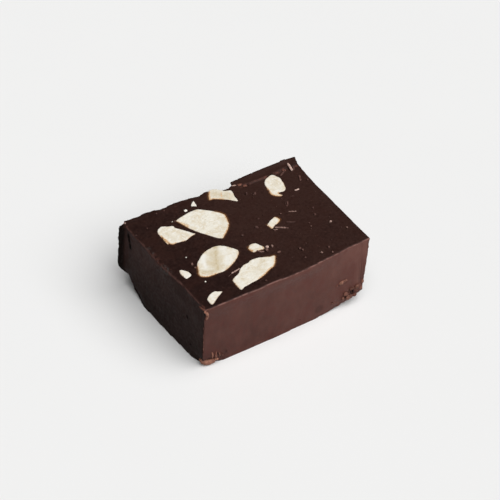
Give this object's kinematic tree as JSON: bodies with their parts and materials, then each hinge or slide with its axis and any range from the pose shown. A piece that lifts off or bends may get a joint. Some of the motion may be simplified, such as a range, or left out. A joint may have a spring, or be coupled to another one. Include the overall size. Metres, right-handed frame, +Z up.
{
  "type": "chocolate almond nougat",
  "caption": "Hand-cut rectangular block of dark chocolate nougat with pale almond pieces set flush in its flat top, a raised strip at the back edge and crumbled corners.",
  "frame": {"origin": "middle of the bounding box on the plane that the block rests on", "axes": "+X along the long front face, +Y towards the back face, +Z up through the top that shows the almonds"},
  "size_m": [0.0624, 0.0464, 0.0236],
  "materials": {
    "dark_chocolate": "dark chocolate, cut smooth on top with a soft sheen, with a dull brown bloom on the front face",
    "blanched_almond": "cut blanched almond, cream white and matte, with a thin tan rim"
  },
  "bodies": {
    "root": {"chocolate_block": "dark_chocolate", "almond_back_wedge": "blanched_almond", "almond_left_wedge": "blanched_almond", "almond_middle_oval": "blanched_almond", "almond_front_long": "blanched_almond", "almond_right_oval": "blanched_almond", "almond_back_edge": "blanched_almond", "almond_chip_middle": "blanched_almond", "almond_chip_square": "blanched_almond", "almond_chip_left": "blanched_almond", "almond_chip_front": "blanched_almond"}
  },
  "joints": []
}
